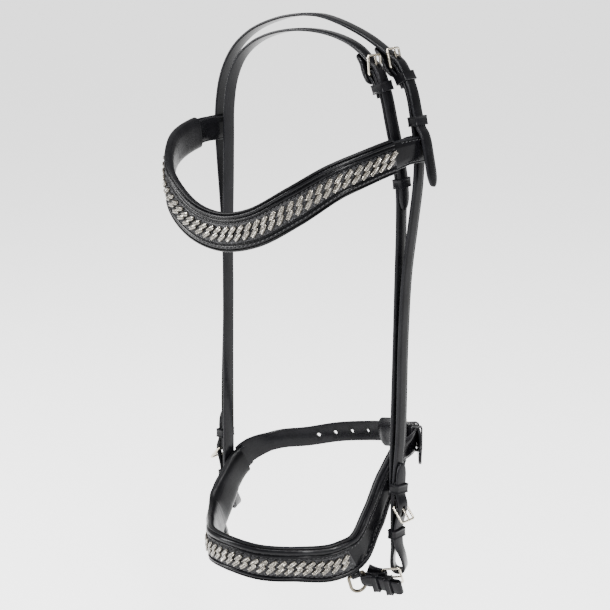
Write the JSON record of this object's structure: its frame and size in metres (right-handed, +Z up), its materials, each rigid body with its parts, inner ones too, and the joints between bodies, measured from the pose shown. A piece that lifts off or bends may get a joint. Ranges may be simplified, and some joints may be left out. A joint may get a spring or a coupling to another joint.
{
  "type": "horse snaffle bridle",
  "caption": "Black leather snaffle bridle with a shaped chain-trimmed browband, matching padded noseband with chin strap, buckled cheeks and bit loops, and a rolled flash strap.",
  "frame": {"origin": "middle of the headpiece's underside where it rests on the poll", "axes": "+Z up, -Y to the horse's nose, +X to its near (left) side; the straps hang down -Z"},
  "size_m": [0.247, 0.1994, 0.4933],
  "materials": {
    "black_leather": "satin black bridle leather, finely creased and stitched",
    "padded_leather": "soft glossy black padded lining",
    "beaded_mesh": "fine black beaded mesh",
    "crystal_chain": "pale metal chain set with small clear crystals",
    "pale_nickel": "polished pale champagne nickel",
    "dark_nickel": "aged dark nickel"
  },
  "bodies": {
    "bridle": {"crown_strap": "black_leather", "near_cheekpiece": "black_leather", "crown_buckle_safe": "black_leather", "crown_keeper_upper": "black_leather", "noseband_hanger": "black_leather", "near_hanger_strap": "black_leather", "hanger_buckle_safe": "black_leather", "hanger_keeper_upper": "black_leather", "near_bit_chape": "black_leather", "off_bit_chape": "black_leather", "near_bit_keeper_upper": "black_leather", "off_bit_keeper_upper": "black_leather", "noseband_body": "black_leather", "noseband_padding": "padded_leather", "noseband_inlay": "beaded_mesh", "noseband_chain": "crystal_chain", "near_dring_tab": "black_leather", "off_dring_tab": "black_leather", "chin_strap": "black_leather", "near_chin_chape": "black_leather", "chin_buckle_safe": "black_leather", "chin_keeper_upper": "black_leather"},
    "browband": {"browband_body": "black_leather", "browband_padding": "padded_leather", "browband_inlay": "beaded_mesh", "browband_chain": "crystal_chain"},
    "crown_buckle": {"crown_buckle_frame": "pale_nickel"},
    "crown_tongue": {"crown_buckle_tongue": "pale_nickel"},
    "crown_runner": {"crown_keeper_runner": "black_leather"},
    "hanger_buckle": {"hanger_buckle_frame": "pale_nickel"},
    "hanger_tongue": {"hanger_buckle_tongue": "pale_nickel"},
    "hanger_runner": {"hanger_keeper_runner": "black_leather"},
    "near_bit_buckle": {"near_bit_buckle_frame": "pale_nickel"},
    "near_bit_tongue": {"near_bit_buckle_tongue": "pale_nickel"},
    "near_bit_runner": {"near_bit_keeper_lower": "black_leather"},
    "off_bit_buckle": {"off_bit_buckle_frame": "pale_nickel"},
    "off_bit_tongue": {"off_bit_buckle_tongue": "pale_nickel"},
    "off_bit_runner": {"off_bit_keeper_lower": "black_leather"},
    "chin_buckle": {"chin_buckle_frame": "pale_nickel"},
    "chin_tongue": {"chin_buckle_tongue": "pale_nickel"},
    "chin_runner": {"chin_keeper_lower": "black_leather"},
    "near_dring": {"near_dring": "dark_nickel"},
    "off_dring": {"off_dring": "dark_nickel"},
    "flash_strap": {"flash_strap": "black_leather", "flash_keeper_inner": "black_leather", "flash_keeper_outer": "black_leather"},
    "flash_buckle": {"flash_buckle_frame": "pale_nickel"},
    "flash_tongue": {"flash_buckle_tongue": "pale_nickel"}
  },
  "joints": [
    {"name": "browband_slide", "type": "slide", "parent": "bridle", "child": "browband", "axis": [0, 0, 1], "range_m": [-0.02, 0]},
    {"name": "crown_buckle_hinge", "type": "hinge", "parent": "bridle", "child": "crown_buckle", "pos_m": [0.08709, 0.0054, -0.03758], "axis": [-0.0343, 0.9985, 0.042], "range_deg": [-4, 3]},
    {"name": "crown_tongue_hinge", "type": "hinge", "parent": "crown_buckle", "child": "crown_tongue", "pos_m": [0.08709, 0.0054, -0.03758], "axis": [-0.0343, 0.9985, 0.042], "range_deg": [0, 4]},
    {"name": "crown_runner_slide", "type": "slide", "parent": "bridle", "child": "crown_runner", "axis": [0.2154, -0.0002, -0.9765], "range_m": [-0.012, 0.002]},
    {"name": "hanger_buckle_hinge", "type": "hinge", "parent": "bridle", "child": "hanger_buckle", "pos_m": [0.07983, -0.01283, -0.04272], "axis": [-0.0131, 0.9996, 0.0235], "range_deg": [-3, 3]},
    {"name": "hanger_tongue_hinge", "type": "hinge", "parent": "hanger_buckle", "child": "hanger_tongue", "pos_m": [0.07983, -0.01283, -0.04272], "axis": [-0.0131, 0.9996, 0.0235], "range_deg": [0, 4]},
    {"name": "hanger_runner_slide", "type": "slide", "parent": "bridle", "child": "hanger_runner", "axis": [0.0705, 0.0877, -0.9937], "range_m": [-0.006, 0.003]},
    {"name": "near_bit_buckle_hinge", "type": "hinge", "parent": "bridle", "child": "near_bit_buckle", "pos_m": [0.1076, -0.00834, -0.404], "axis": [0, -0.9998, 0.0199], "range_deg": [-8, 5]},
    {"name": "near_bit_tongue_hinge", "type": "hinge", "parent": "near_bit_buckle", "child": "near_bit_tongue", "pos_m": [0.1076, -0.00834, -0.404], "axis": [0, -0.9998, 0.0199], "range_deg": [0, 6]},
    {"name": "near_bit_runner_slide", "type": "slide", "parent": "bridle", "child": "near_bit_runner", "axis": [0, 0.0262, -0.9997], "range_m": [-0.0015, 0.0003]},
    {"name": "off_bit_buckle_hinge", "type": "hinge", "parent": "bridle", "child": "off_bit_buckle", "pos_m": [-0.1072, -0.00249, -0.403], "axis": [0, 1, 0.0033], "range_deg": [-8, 5]},
    {"name": "off_bit_tongue_hinge", "type": "hinge", "parent": "off_bit_buckle", "child": "off_bit_tongue", "pos_m": [-0.1072, -0.00249, -0.403], "axis": [0, 1, 0.0033], "range_deg": [0, 6]},
    {"name": "off_bit_runner_slide", "type": "slide", "parent": "bridle", "child": "off_bit_runner", "axis": [0, -0.0056, 1], "range_m": [-0.0025, 0.0015]},
    {"name": "chin_buckle_hinge", "type": "hinge", "parent": "bridle", "child": "chin_buckle", "pos_m": [0.05605, 0.06448, -0.36992], "axis": [0.2006, -0.1339, -0.9705], "range_deg": [-3, 4]},
    {"name": "chin_tongue_hinge", "type": "hinge", "parent": "chin_buckle", "child": "chin_tongue", "pos_m": [0.05605, 0.06448, -0.36992], "axis": [0.2006, -0.1339, -0.9705], "range_deg": [0, 5]},
    {"name": "chin_runner_slide", "type": "slide", "parent": "bridle", "child": "chin_runner", "axis": [0.6447, -0.7555, 0.1167], "range_m": [-0.003, 0.0004]},
    {"name": "near_dring_hinge", "type": "hinge", "parent": "bridle", "child": "near_dring", "pos_m": [0.08394, -0.0365, -0.46519], "axis": [-0.4753, -0.8275, -0.2988], "range_deg": [-6, 12]},
    {"name": "off_dring_hinge", "type": "hinge", "parent": "bridle", "child": "off_dring", "pos_m": [-0.07968, -0.03162, -0.47359], "axis": [-0.5485, 0.8117, 0.2006], "range_deg": [-25, 25]},
    {"name": "flash_hinge", "type": "hinge", "parent": "near_dring", "child": "flash_strap", "pos_m": [0.08782, -0.02838, -0.47042], "axis": [0.0715, 0.3022, -0.9506], "range_deg": [-3, 12]},
    {"name": "flash_buckle_hinge", "type": "hinge", "parent": "flash_strap", "child": "flash_buckle", "pos_m": [0.10013, -0.01735, -0.4683], "axis": [0.0715, 0.3022, -0.9506], "range_deg": [-4, 6]},
    {"name": "flash_tongue_hinge", "type": "hinge", "parent": "flash_buckle", "child": "flash_tongue", "pos_m": [0.10013, -0.01735, -0.4683], "axis": [0.0715, 0.3022, -0.9506], "range_deg": [0, 10]}
  ]
}
